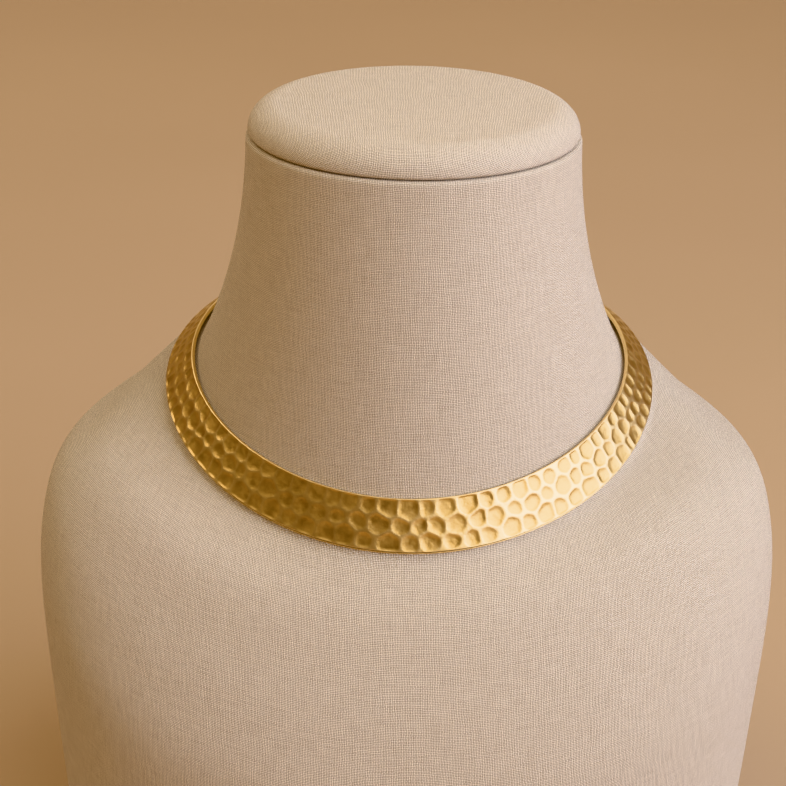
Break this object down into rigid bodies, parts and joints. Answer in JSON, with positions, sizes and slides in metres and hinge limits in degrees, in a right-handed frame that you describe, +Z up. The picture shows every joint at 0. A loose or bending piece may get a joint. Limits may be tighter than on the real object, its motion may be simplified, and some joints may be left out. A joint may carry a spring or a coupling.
{
  "type": "collar choker necklace on a neck bust",
  "caption": "Rigid hammered gold collar choker, narrower towards the nape, resting on a linen-covered neck bust with a padded round top.",
  "frame": {"origin": "middle of the bust's flat base", "axes": "+Z up the neck, the throat towards -Y, +X to the right of someone who faces the collar"},
  "size_m": [0.2242, 0.16, 0.2419],
  "materials": {
    "gold": "satin hammered gold plating with polished edges",
    "linen": "plain-woven natural linen"
  },
  "bodies": {
    "root": {"collar_band": "gold", "clasp": "gold", "neck_bust": "linen", "neck_cap": "linen"}
  },
  "joints": []
}
